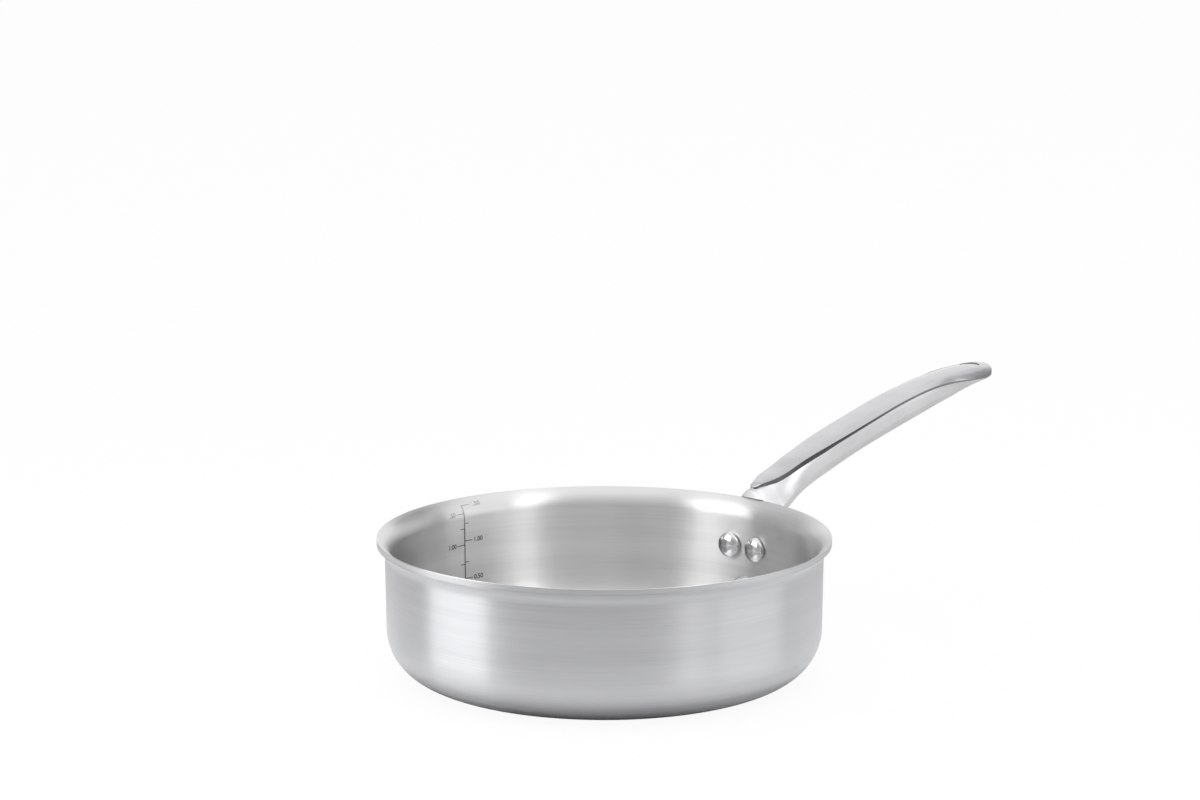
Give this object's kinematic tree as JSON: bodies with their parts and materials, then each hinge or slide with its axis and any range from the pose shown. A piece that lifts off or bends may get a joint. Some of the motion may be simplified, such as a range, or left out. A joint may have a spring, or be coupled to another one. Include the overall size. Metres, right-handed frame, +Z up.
{
  "type": "saute pan",
  "caption": "Straight-walled clad steel saute pan with a flared lip, a rounded base corner and a long cast handle riveted to the wall.",
  "frame": {"origin": "centre of the base's flat underside, on the pan's axis", "axes": "+X from the pan's axis along the handle, +Z up along the pan's axis, so the base faces -Z"},
  "size_m": [0.3812, 0.204, 0.1059],
  "materials": {
    "outer_skin": "satin, brushed round the wall",
    "core": "trimmed edge, only its rim line shows",
    "inner_skin": "satin, brushed round the wall",
    "cast_handle": "polished casting",
    "rivets": "polished"
  },
  "bodies": {
    "root": {"outer_ply": "outer_skin", "core_ply": "core", "inner_ply": "inner_skin", "handle": "cast_handle", "rivet_left": "rivets", "rivet_right": "rivets", "rivet_lower": "rivets"}
  },
  "joints": []
}
